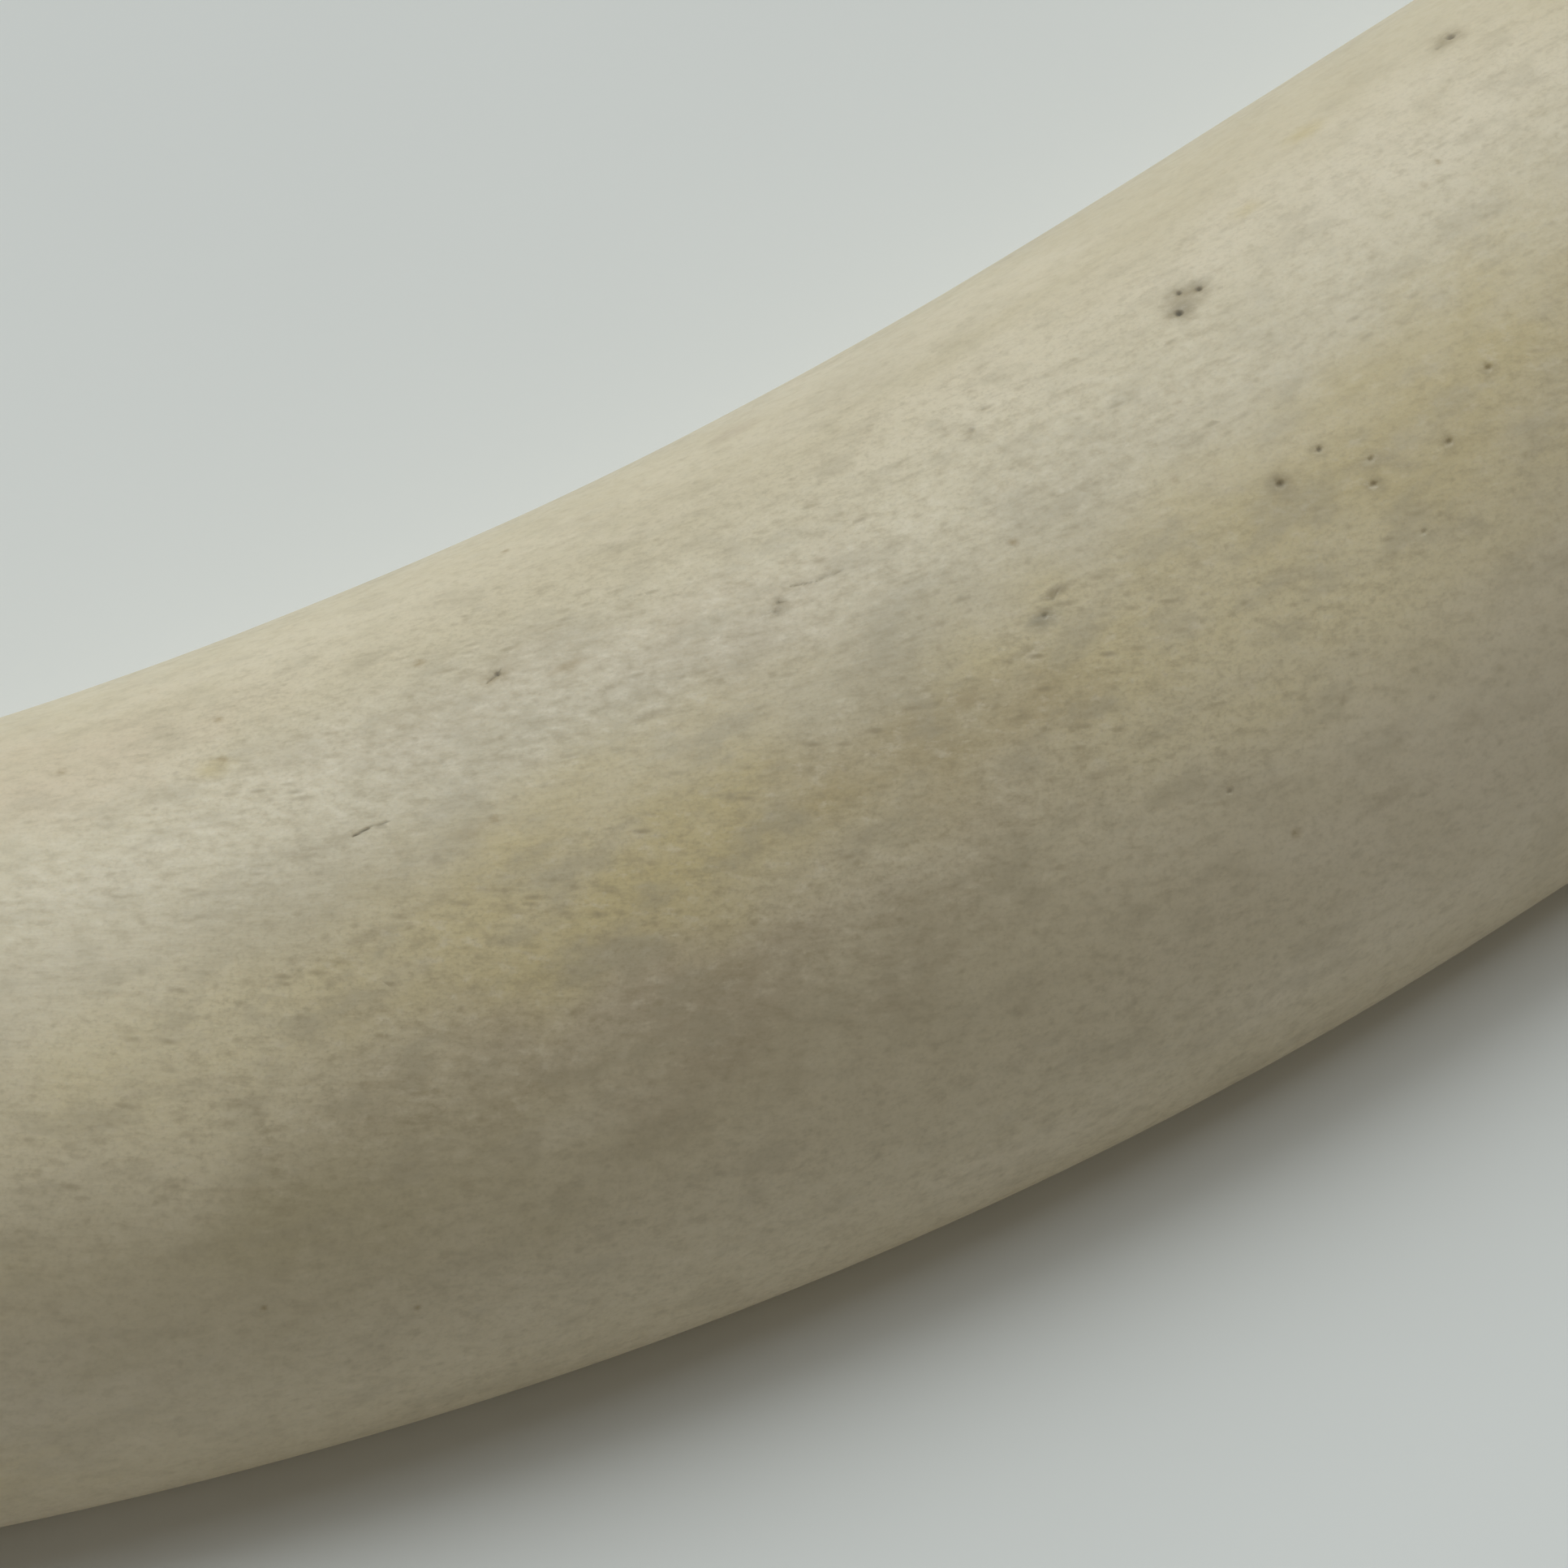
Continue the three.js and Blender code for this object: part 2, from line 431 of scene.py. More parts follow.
class StraightBar:
    """The laws of the blade before it is bent: how wide and thick it is at each distance from the tip."""

    def __init__(self, sizes):
        self.sizes = sizes
        self.length = sizes.tip_reach + sizes.butt_reach

    def tapered(self, distance, at_tip, at_belly, at_butt):
        """A size that is largest at the belly and falls along a parabola towards both ends."""
        from_belly = distance - self.sizes.tip_reach
        at_end, reach = at_butt, self.sizes.butt_reach
        if from_belly < 0:
            at_end, reach = at_tip, self.sizes.tip_reach
        return at_end + (at_belly - at_end) * (1 - (from_belly / reach) ** 2)

    def closing(self, distance):
        """How far the rounded ends have closed the bar here: 1 along the bar, 0 at its very ends."""
        into_tip = max(0.0, 1 - distance / self.sizes.tip_nose)
        into_butt = max(0.0, 1 - (self.length - distance) / self.sizes.butt_nose)
        return math.sqrt(1 - into_tip ** 2) * math.sqrt(1 - into_butt ** 2)

    def width(self, distance):
        s = self.sizes
        return self.tapered(distance, s.tip_width, s.belly_width, s.butt_width) * self.closing(distance)

    def thickness(self, distance):
        s = self.sizes
        taper = self.tapered(distance, s.tip_thickness, s.belly_thickness, s.butt_thickness)
        return taper * self.closing(distance)

    def stations(self):
        """Distances of the sections from the tip's end, closer together in the rounded ends."""
        quarter = [END_ANGLE + (math.pi / 2 - END_ANGLE) * i / NOSE_STEPS for i in range(NOSE_STEPS)]
        closed = [1 - math.cos(angle) for angle in quarter]
        start, end = self.sizes.tip_nose, self.length - self.sizes.butt_nose
        steps = round((end - start) / STATION_STEP)
        bar = [start + (end - start) * i / steps for i in range(steps + 1)]
        tip = [self.sizes.tip_nose * share for share in closed]
        butt = [self.length - self.sizes.butt_nose * share for share in reversed(closed)]
        return tip + bar + butt


def draw_section(sizes):
    """Stand the belly's section across X: half a circle pressed to the dome, on a flat rounded back."""
    half_width = sizes.belly_width / 2
    edge = sizes.back_edge_radius
    tiny = 0.001 * MM
    bpy.ops.object.select_all(action="DESELECT")
    bpy.ops.mesh.primitive_circle_add(
        vertices=2 * DOME_SIDES, radius=half_width, rotation=(math.pi / 2, 0, math.pi / 2))
    blade = bpy.context.object
    bpy.ops.object.transform_apply(rotation=True)
    enter_edit(blade)
    select_vertices(blade, lambda co: co.z < -tiny)
    bpy.ops.mesh.delete(type="VERT")
    bpy.ops.mesh.select_all(action="SELECT")
    bpy.ops.transform.resize(
        value=(1, 1, (sizes.belly_thickness - edge) / half_width), center_override=(0, 0, 0))
    select_vertices(blade, lambda co: co.z < tiny)
    bpy.ops.mesh.extrude_vertices_move(TRANSFORM_OT_translate={"value": (0, 0, -edge)})
    bpy.ops.mesh.edge_face_add()
    bpy.ops.mesh.bevel(offset=edge, segments=EDGE_SIDES, affect="VERTICES", clamp_overlap=False)
    bpy.ops.mesh.select_all(action="SELECT")
    bpy.ops.mesh.remove_doubles(threshold=tiny)
    select_vertices(blade, lambda co: co.z < tiny - edge)
    bpy.ops.mesh.subdivide(number_cuts=BACK_SIDES - 1)
    bpy.ops.mesh.select_all(action="SELECT")
    bpy.ops.transform.translate(value=(0, 0, edge))
    return blade


def draw_out_bar(bar):
    """Extrude the section from the tip's end to the butt's end, sizing it at each station."""
    stations = bar.stations()
    width, thickness = bar.sizes.belly_width, bar.sizes.belly_thickness
    here = 0.0
    for number, there in enumerate(stations):
        step = (there - here, 0, 0)
        if number == 0:
            bpy.ops.transform.translate(value=step)
        else:
            bpy.ops.mesh.extrude_region_move(TRANSFORM_OT_translate={"value": step})
        across, up = bar.width(there) / width, bar.thickness(there) / thickness
        bpy.ops.transform.resize(value=(1, across, up), center_override=(there, 0, 0))
        here, width, thickness = there, bar.width(there), bar.thickness(there)
    return stations


def close_ends(blade, stations):
    """Close both ends with a small fan of faces."""
    tiny = 0.001 * MM
    for end in (stations[0], stations[-1]):
        select_vertices(blade, lambda co, end=end: abs(co.x - end) < tiny)
        bpy.ops.mesh.edge_face_add()
        bpy.ops.mesh.poke()
    bpy.ops.mesh.select_all(action="SELECT")
    bpy.ops.mesh.normals_make_consistent(inside=False)


class Mark:
    """A pore, a crack or a speck: a line on the bar's skin, often of no length, with a radius."""

    def __init__(self, start, end, radius, depth=0.0, dirt_and_pit_shade=0.0):
        self.start = np.array(start)
        self.along = np.array(end) - self.start
        self.radius = radius
        self.depth = depth
        self.dirt_and_pit_shade = dirt_and_pit_shade

    def share_along(self, places):
        """How far along the line the nearest point to each place lies, from 0 to 1."""
        length_squared = float(self.along @ self.along)
        if length_squared == 0:
            return np.full(len(places), 0.5)
        return np.clip((places - self.start) @ self.along / length_squared, 0, 1)

    def distance(self, places):
        """Distance from each place to the mark's line."""
        share = self.share_along(places)
        return np.linalg.norm(places - self.start - share[:, None] * self.along, axis=1)

    def radii_away(self, places):
        """The same, in radii. The radius narrows towards the ends of a line."""
        narrowing = CRACK_TIP + (1 - CRACK_TIP) * np.sin(math.pi * self.share_along(places))
        return self.distance(places) / (self.radius * narrowing)


def on_skin(blade, distance, across, side):
    """The point where a needle held square to the flat back meets the bar, from the front or the back."""
    start = Vector((distance * MM, across * MM, side))
    hit, place, _normal, _face = blade.ray_cast(start, Vector((0, 0, -side)))
    if not hit:
        raise RuntimeError(f"no bone at {distance} mm from the tip and {across} mm across")
    return place


def scattered(bar, count, side, chance):
    """Random pores over one side, some of them in twos and threes."""
    found = []
    while len(found) < count:
        distance = chance.uniform(8, bar.length / MM - 8)
        if side == FRONT and KNOWN_STRETCH[0] < distance < KNOWN_STRETCH[1]:
            continue
        half_width = bar.width(distance * MM) / 2 / MM
        across = chance.uniform(-0.75, 0.75) * half_width
        for _ in range(chance.choice((1, 1, 1, 2, 3))):
            found.append((distance, across, chance.uniform(0.05, 0.11), chance.uniform(0.3, 0.8)))
            distance += chance.uniform(-0.9, 0.9)
            across += chance.uniform(-0.4, 0.4)
    return found[:count]


def plan_marks(blade, bar):
    """Every pit and every speck, on the skin of the straight bar."""
    chance = random.Random(SCATTER_SEED)
    pits, specks = [], []
    pores = [(FRONT, pore) for pore in PORES]
    pores += [(FRONT, pore) for pore in scattered(bar, FRONT_SCATTER, FRONT, chance)]
    pores += [(BACK, pore) for pore in scattered(bar, BACK_SCATTER, BACK, chance)]
    for side, (distance, across, radius, dirt_and_pit_shade) in pores:
        place = on_skin(blade, distance, across, side)
        pits.append(Mark(place, place, radius * MM, PORE_DEPTH * radius * MM, dirt_and_pit_shade))
    for start, end, radius, dirt_and_pit_shade in CRACKS:
        places = [on_skin(blade, *point, FRONT) for point in (start, end)]
        pits.append(Mark(*places, radius * MM, CRACK_DEPTH * radius * MM, dirt_and_pit_shade))
    for distance, across, radius in SPECKS:
        place = on_skin(blade, distance, across, FRONT)
        specks.append(Mark(place, place, radius * MM))
    return pits, specks


def refine_round(blade, marks):
    """Subdivide the skin round each mark, twice, so that a small shape can be pressed in cleanly."""
    for reach, radii, cuts in REFINING:
        def clearance(places, radii=radii):
            return np.min([mark.distance(places) - radii * mark.radius for mark in marks], axis=0)
        enter_edit(blade)
        select_faces_near(blade, clearance, reach)
        bpy.ops.mesh.subdivide(number_cuts=cuts)
        bpy.ops.object.mode_set(mode="OBJECT")


def vertex_places(blade):
    """Every vertex's place, as rows."""
    places = np.zeros(3 * len(blade.data.vertices), np.float32)
    blade.data.vertices.foreach_get("co", places)
    return places.reshape(-1, 3).astype(float)


def store(blade, name, values, kind="FLOAT"):
    """Keep a value at every vertex, for the material to read."""
    attribute = blade.data.attributes.new(name, kind, "POINT")
    field = "vector" if kind == "FLOAT_VECTOR" else "value"
    attribute.data.foreach_set(field, np.asarray(values, np.float32).ravel())


def press(blade, weights, strength, texture=None):
    """Move the skin along its normals by strength times each vertex's weight, with a Displace modifier."""
    group = blade.vertex_groups.new(name="press")
    for index in np.nonzero(weights > 0.001)[0]:
        group.add([int(index)], float(weights[index]), "REPLACE")
    modifier = blade.modifiers.new("press", "DISPLACE")
    modifier.vertex_group = group.name
    modifier.strength = strength
    modifier.mid_level = 0.5 if texture else 0.0
    modifier.texture = texture
    bpy.context.view_layer.objects.active = blade
    bpy.ops.object.modifier_apply(modifier=modifier.name)
    blade.vertex_groups.remove(blade.vertex_groups["press"])


def press_pits(blade, pits, specks):
    """Press the pores and cracks in, and keep at each vertex how dark the pits are painted with dirt and painted shade,
    how grey the skin round them is and how specked it is.
    """
    places = vertex_places(blade)
    depth, dirt_and_pit_shade, halo, speck = (np.zeros(len(places)) for _ in range(4))
    for mark in pits:
        away = mark.radii_away(places)
        depth = np.maximum(depth, (1 - smooth_step(away, 0.2, 1.3)) * mark.depth)
        # How dark the pit's floor is painted: dirt, and the painted shade of a deep hole
        dirt_and_pit_shade = np.maximum(dirt_and_pit_shade, (1 - smooth_step(away, 0.1, 1.5)) * mark.dirt_and_pit_shade)
        halo = np.maximum(halo, (1 - smooth_step(away, 0.5, HALO_REACH)) * mark.dirt_and_pit_shade)
    for mark in specks:
        speck = np.maximum(speck, 1 - smooth_step(mark.radii_away(places), 0.1, 1.3))
    store(blade, "dirt_and_pit_shade", dirt_and_pit_shade)
    store(blade, "halo", halo)
    store(blade, "speck", speck)
    press(blade, depth / depth.max(), -depth.max())


def press_carving_waves(blade, bar):
    """Leave the dome very slightly wavy, as carving and sanding do, and the back flat."""
    waves = bpy.data.textures.new("carving waves", "CLOUDS")
    waves.noise_scale = CARVING_WAVE
    places = vertex_places(blade)
    on_dome = smooth_step(places[:, 2], bar.sizes.back_edge_radius, 2.5 * bar.sizes.back_edge_radius)
    press(blade, on_dome, CARVING_RELIEF, waves)


def lay_stains_and_painted_light(blade, finish):
    """Keep each vertex's stains and painted light and shade: their colour, and how much of them covers the bone. The
    edges are ragged.
    """
    places = vertex_places(blade) / MM
    wander = np.zeros_like(places)
    for blot, part in STAIN_BLOTS:
        wander += part * np.array([noise.noise_vector(Vector(place / blot)) for place in places])
    ragged = places + wander * STAIN_WANDER
    laid, bare = np.zeros_like(places), np.ones((len(places), 1))
    for distance, across, half_length, half_width, tint, strength in STAINS_AND_PAINTED_LIGHT:
        away = np.hypot((ragged[:, 0] - distance) / half_length, (ragged[:, 1] - across) / half_width)
        part = strength * (1 - smooth_step(away, *STAIN_EDGE))[:, None]
        laid = laid * (1 - part) + np.array(getattr(finish, tint)) * part
        bare = bare * (1 - part)
    store(blade, "patch_cover", 1 - bare)
    store(blade, "stain_and_painted_light_colour", laid / np.maximum(1 - bare, 0.001), "FLOAT_VECTOR")


def draw_middle_line(bar):
    """Draw the line that the bar is bent along: a point spun through three arcs that run into each other."""
    s = bar.sizes
    arcs = (
        (s.tip_reach - s.belly_bend_to_widest - s.belly_bend_length, s.tip_bend_radius),
        (s.belly_bend_length, s.belly_bend_radius),
        (s.belly_bend_to_widest + s.butt_reach, s.butt_bend_radius),
    )
    bpy.ops.object.select_all(action="DESELECT")
    bpy.ops.mesh.primitive_plane_add(size=MM)
    line = bpy.context.object
    enter_edit(line)
    bpy.ops.mesh.select_all(action="SELECT")
    bpy.ops.mesh.merge(type="CENTER")
    end, heading = Vector((0, 0, 0)), 0.0
    for length, radius in arcs:
        centre = end + radius * Vector((-math.sin(heading), math.cos(heading), 0))
        turn = length / radius
        bpy.ops.mesh.spin(steps=round(length / LINE_STEP), angle=-turn, center=centre, axis=(0, 0, 1))
        heading += turn
        end = centre + radius * Vector((math.sin(heading), -math.cos(heading), 0))
    bpy.ops.object.mode_set(mode="OBJECT")
    return line, end


def make_current(piece):
    """Select one piece alone, in object mode."""
    bpy.ops.object.select_all(action="DESELECT")
    piece.select_set(True)
    bpy.context.view_layer.objects.active = piece


def bend(blade, bar):
    """Bend the straight bar along its middle line and lay the bend's chord along X."""
    line, butt_end = draw_middle_line(bar)
    make_current(line)
    bpy.ops.object.convert(target="CURVE")
    line = bpy.context.object
    modifier = blade.modifiers.new("bend", "CURVE")
    modifier.object = line
    modifier.deform_axis = "POS_X"
    make_current(blade)
    bpy.ops.object.modifier_apply(modifier="bend")
    bpy.data.objects.remove(line)
    blade.rotation_euler.z = -math.atan2(butt_end.y, butt_end.x)
    bpy.ops.object.transform_apply(location=False, rotation=True, scale=False)
    places = vertex_places(blade)
    middle = (places.min(axis=0) + places.max(axis=0)) / 2
    frame_middle = (BACK_LOW + FRONT_HIGH) / 2
    blade.location = (frame_middle.x - middle[0], frame_middle.y - middle[1], 0)
    bpy.ops.object.transform_apply(location=True, rotation=False, scale=False)


class Recipe:
    """A material, mixed step by step from nodes."""

    def __init__(self, name):
        self.material = bpy.data.materials.new(name)
        self.material.use_nodes = True
        self.tree = self.material.node_tree
        self.shader = self.tree.nodes["Principled BSDF"]

    def node(self, kind, inputs, **settings):
        """Add a node. Each input is a value or another node's output."""
        node = self.tree.nodes.new(kind)
        for name, value in settings.items():
            setattr(node, name, value)
        for name, value in inputs.items():
            if isinstance(value, bpy.types.NodeSocket):
                self.tree.links.new(value, node.inputs[name])
            else:
                node.inputs[name].default_value = value
        return node

    def kept(self, name, output="Fac"):
        """A value that the mesh keeps at each vertex."""
        return self.node("ShaderNodeAttribute", {}, attribute_name=name).outputs[output]

    def math(self, operation, a, b=0.0, easing=0.0):
        return self.node("ShaderNodeMath", {0: a, 1: b, 2: easing}, operation=operation).outputs[0]

    def ramp(self, value, low, high, at_low=0.0, at_high=1.0):
        """An even curve from at_low to at_high while value goes from low to high."""
        inputs = {"Value": value, "From Min": low, "From Max": high, "To Min": at_low, "To Max": at_high}
        return self.node("ShaderNodeMapRange", inputs, interpolation_type="SMOOTHSTEP").outputs[0]

    def placed(self, vector, centre=(0, 0, 0), size=(1, 1, 1)):
        """Coordinates that are 0 at centre and 1 at a distance of size from it."""
        scale = [1 / s for s in size]
        moved = [-c / s for c, s in zip(centre, size)]
        inputs = {"Vector": vector, "Location": moved, "Scale": scale}
        return self.node("ShaderNodeMapping", inputs).outputs[0]

    def noise(self, vector, size, detail=2.0, roughness=0.5, distortion=0.0):
        """Soft noise with blots of about this size."""
        inputs = {
            "Vector": self.placed(vector, size=size), "Scale": 1.0, "Detail": detail,
            "Roughness": roughness, "Distortion": distortion,
        }
        return self.node("ShaderNodeTexNoise", inputs).outputs["Fac"]

    def ragged(self, vector, blots, reach):
        """Coordinates that wander by up to about half of reach, in blots of this size."""
        wander = self.node(
            "ShaderNodeTexNoise", {"Vector": vector, "Scale": 1 / blots, "Detail": 3.0, "Roughness": 0.6})
        shift = self.node(
            "ShaderNodeVectorMath",
            {0: wander.outputs["Color"], 1: (0.5, 0.5, 0.5)}, operation="SUBTRACT").outputs[0]
        shift = self.node("ShaderNodeVectorMath", {0: shift, 1: reach}, operation="MULTIPLY").outputs[0]
        return self.node("ShaderNodeVectorMath", {0: vector, 1: shift}, operation="ADD").outputs[0]

    def grains(self, vector, size, radius, kept_share):
        """Separate grains, one at most in each cell of this size, of which only a share is kept."""
        inputs = {"Vector": self.placed(vector, size=size), "Scale": 1.0, "Randomness": 1.0}
        cells = self.node("ShaderNodeTexVoronoi", inputs)
        shape = self.ramp(cells.outputs["Distance"], 0.1 * radius, radius, 1.0, 0.0)
        choice = self.node("ShaderNodeSeparateColor", {"Color": cells.outputs["Color"]}).outputs[0]
        return self.math("MULTIPLY", shape, self.ramp(choice, kept_share, 0.4 * kept_share))

    def mix(self, a, b, share, mode="MIX"):
        """Colour a with a share of colour b."""
        return self.node(
            "ShaderNodeMix", {0: share, 6: a, 7: b}, data_type="RGBA", blend_type=mode).outputs[2]


def rgba(colour):
    return (*colour, 1.0)


def mix_bone(finish):
    """Polished bone: cream with soft stains and some painted highlights and painted shade, dark fibres along the grain,
    and dirt with painted shade in the pores.
    """
    bone = Recipe("polished bone")
    place = bone.kept("bar_mm", "Vector")
    height = bone.node("ShaderNodeSeparateXYZ", {0: place}).outputs["Z"]
    along = bone.node("ShaderNodeSeparateXYZ", {0: place}).outputs["X"]
    across = bone.node("ShaderNodeSeparateXYZ", {0: place}).outputs["Y"]
    dome = bone.ramp(height, 0.3, 1.2)

    # Broad uneven colour, drawn out along the bar
    cloud = bone.noise(place, (9, 3, 3), detail=3, distortion=0.4)
    colour = bone.mix(rgba(finish.cream), rgba(finish.chalk), bone.ramp(cloud, 0.50, 0.72, 0.0, 0.55))
    patch_cover = bone.noise(place, (11, 4, 4), detail=4, roughness=0.55, distortion=0.6)
    known = bone.math("MULTIPLY", bone.ramp(along, 66, 72), bone.ramp(along, 116, 110))
    unknown = bone.math("SUBTRACT", 1.0, bone.math("MULTIPLY", known, dome))
    amount = bone.math("MULTIPLY", bone.ramp(patch_cover, 0.50, 0.75, 0.0, 0.6), unknown)
    colour = bone.mix(colour, rgba(finish.ochre), amount)

    # Cloudy stains, with the painted highlights and painted shade laid among them, and smudges with ragged edges
    cloudy = bone.ramp(bone.noise(place, (2.5, 1.4, 1.4), detail=3), 0.3, 0.6, 0.55, 1.0)
    share = bone.math("MULTIPLY", bone.math("MULTIPLY", bone.kept("patch_cover"), cloudy), dome)
    colour = bone.mix(colour, bone.kept("stain_and_painted_light_colour", "Vector"), share)
    ragged = bone.ragged(place, 0.35, (0.5, 0.3, 0.0))
    for distance, centre_across, half_length, half_width, tint, strength in SMUDGES:
        inside = bone.placed(ragged, (distance, centre_across, 0), (half_length, half_width, 1000))
        radius = bone.node("ShaderNodeVectorMath", {0: inside}, operation="LENGTH").outputs["Value"]
        share = bone.math("MULTIPLY", bone.ramp(radius, 1.3, 0.1, 0.0, strength), dome)
        colour = bone.mix(colour, rgba(getattr(finish, tint)), share)

    # Handling warms both ends a little
    ends = bone.math("ADD", bone.ramp(along, 28, 4), bone.ramp(along, 135, 152))
    colour = bone.mix(colour, rgba(finish.ochre), bone.math("MULTIPLY", ends, 0.28))

    # Streaks and grains of the bone's fibres, calmer towards the hollow side and the butt
    calm = bone.math("MULTIPLY", bone.ramp(along, 92, 104, 1.0, 0.70), bone.ramp(across, 4.0, 8.0, 1.0, 0.45))
    calm = bone.math("MULTIPLY", calm, bone.ramp(across, 0.5, -2.5, 1.0, 1.25))
    calm = bone.math("MULTIPLY", calm, bone.ramp(across, -4.5, -7.5, 1.0, 0.60))
    calm = bone.math("MULTIPLY", calm, bone.ramp(along, 78, 71, 1.0, 0.70))

    fade, easing = GRAIN_EASING
    before = bone.math("SMOOTH_MIN", bone.math("SUBTRACT", along, fade), 0.0, easing)
    rise = bone.math("ADD", bone.math("MULTIPLY", along, GRAIN_SLOPE), bone.math("MULTIPLY", before, GRAIN_SLOPE_MORE))
    lifted = bone.node("ShaderNodeCombineXYZ", {"X": along, "Y": bone.math("ADD", across, rise), "Z": height})
    hollow_grain = lifted.outputs[0]
    outer_grain = bone.node("ShaderNodeMapping", {"Vector": place, "Rotation": (0, 0, GRAIN_TURN_OUTER)}).outputs[0]
    outer = bone.ramp(across, 0.5, -2.0)

    def along_grain(pattern, *settings, **more):
        """A pattern that follows the grain, which lies differently on the hollow and the outer side."""
        hollow_part = bone.math("MULTIPLY", pattern(hollow_grain, *settings, **more), bone.math("SUBTRACT", 1.0, outer))
        return bone.math("ADD", hollow_part, bone.math("MULTIPLY", pattern(outer_grain, *settings, **more), outer))

    def grained(tint, value, low, high, most):
        return bone.mix(colour, rgba(tint), bone.math("MULTIPLY", bone.ramp(value, low, high, 0.0, most), calm))

    streak = along_grain(bone.noise, (1.6, 0.30, 0.30), detail=3, roughness=0.6)
    mottle = along_grain(bone.noise, (0.42, 0.26, 0.26), detail=3, roughness=0.65)
    patches = bone.noise(place, (1.5, 0.9, 0.9), detail=3, roughness=0.55)
    powder = bone.noise(place, (0.11, 0.09, 0.09), detail=3, roughness=0.6)
    colour = grained(finish.fibre, streak, 0.50, 0.78, 0.26)
    colour = grained(finish.fibre, mottle, 0.46, 0.76, 0.36)
    colour = grained(finish.chalk, mottle, 0.48, 0.26, 0.40)
    colour = grained(finish.grey, patches, 0.48, 0.72, 0.48)
    colour = grained(finish.fibre, powder, 0.42, 0.80, 0.30)

    belt = bone.math(
        "MULTIPLY", bone.ramp(across, -6.0, -1.0, 0.45, 1.0), bone.ramp(across, 6.5, 2.5, 0.10, 1.0))
    clumps = bone.ramp(bone.noise(place, (4, 1.6, 1.6), detail=2), 0.40, 0.62, 0.15, 1.0)
    belt = bone.math("MULTIPLY", bone.math("MULTIPLY", belt, clumps), calm)
    dashes = along_grain(bone.grains, (0.70, 0.22, 0.22), 0.45, 0.40)
    colour = bone.mix(colour, rgba(finish.fibre), bone.math("MULTIPLY", bone.math("MULTIPLY", dashes, belt), 0.66))
    dots = bone.grains(place, (0.34, 0.26, 0.26), 0.42, 0.30)
    colour = bone.mix(colour, rgba(finish.fibre), bone.math("MULTIPLY", bone.math("MULTIPLY", dots, calm), 0.34))

    # Specks, pores and cracks
    ragged_speck = bone.math("MULTIPLY", bone.kept("speck"), bone.ramp(mottle, 0.35, 0.65, 0.3, 0.8))
    colour = bone.mix(colour, rgba(finish.brown), ragged_speck)
    cloudy_halo = bone.math("MULTIPLY", bone.kept("halo"), bone.ramp(mottle, 0.35, 0.65, 0.35, 0.9))
    colour = bone.mix(colour, rgba(finish.fibre), cloudy_halo)
    # Dirt and painted shade: the pore colour darkens the floors of the pits and cracks
    dirt_and_pit_shade = bone.kept("dirt_and_pit_shade")
    colour = bone.mix(colour, rgba(finish.pore), dirt_and_pit_shade)

    # Polish and the finest relief
    rough = bone.math("ADD", bone.ramp(mottle, 0.3, 0.7, -0.05, 0.07), finish.roughness)
    rough = bone.math("ADD", rough, bone.math("MULTIPLY", dirt_and_pit_shade, 0.35))
    ridges = bone.noise(hollow_grain, (0.9, 0.22, 0.22))
    relief = bone.math("ADD", bone.math("MULTIPLY", ridges, 0.8), bone.math("MULTIPLY", powder, 0.15))
    bump = bone.node("ShaderNodeBump", {"Strength": 0.25, "Distance": 0.04 * MM, "Height": relief})

    links = bone.tree.links
    links.new(colour, bone.shader.inputs["Base Color"])
    links.new(rough, bone.shader.inputs["Roughness"])
    links.new(bump.outputs[0], bone.shader.inputs["Normal"])
    bone.shader.inputs["IOR"].default_value = 1.54
    bone.shader.inputs["Subsurface Weight"].default_value = 0.15
    bone.shader.inputs["Subsurface Radius"].default_value = (1.0, 0.75, 0.5)
    bone.shader.inputs["Subsurface Scale"].default_value = 1.0 * MM
    return bone.material


class BONE_FOLDER_OT_carve_blade(bpy.types.Operator):
    """Carve the blade: a domed bar with a flat back, pitted by its pores and bent sideways"""

    bl_idname = "bone_folder.carve_blade"
    bl_label = "Carve blade"

    def execute(self, context):
        sizes = context.scene.folder_sizes
        bar = StraightBar(sizes)
        blade = draw_section(sizes)
        blade.name = "carved_blade"
        stations = draw_out_bar(bar)
        close_ends(blade, stations)
        bpy.ops.object.mode_set(mode="OBJECT")
        pits, specks = plan_marks(blade, bar)
        refine_round(blade, pits + specks)
        store(blade, "bar_mm", vertex_places(blade) / MM, "FLOAT_VECTOR")
        lay_stains_and_painted_light(blade, context.scene.bone_finish)
        press_carving_waves(blade, bar)
        press_pits(blade, pits, specks)
        bend(blade, bar)
        bpy.ops.object.shade_smooth()
        blade.data.materials.append(mix_bone(context.scene.bone_finish))
        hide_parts(BLADE_NODE)
        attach(blade, "root")
        return {"FINISHED"}


PAPER_SIZE = 30.0
PAPER_GAP = 0.02 * MM  # between the paper and the flat back
WINDOW_BEARINGS = ((60, 0.40), (120, 0.60))  # degrees to the left of the camera's right, share of the light
WALL_BEARING = -90
WALL_HEIGHT = math.radians(5)
WALL_WIDTH = math.radians(10)
LIGHT_COLOUR = (0.92, 1.0, 1.01)
SURROUND_COLOUR = (0.96, 0.90, 0.72)
WALL_COLOUR = (0.52, 0.55, 0.525)


def direction(turn, height):
    """Unit vector from the folder towards a place seen at this turn and height."""
    return Vector((math.sin(turn) * math.cos(height), -math.cos(turn) * math.cos(height), math.sin(height)))


def aim_from(thing, toward):
    """Turn a lamp or a camera that stands in this direction so that it looks back at the folder."""
    thing.rotation_euler = toward.to_track_quat("Z", "Y").to_euler()


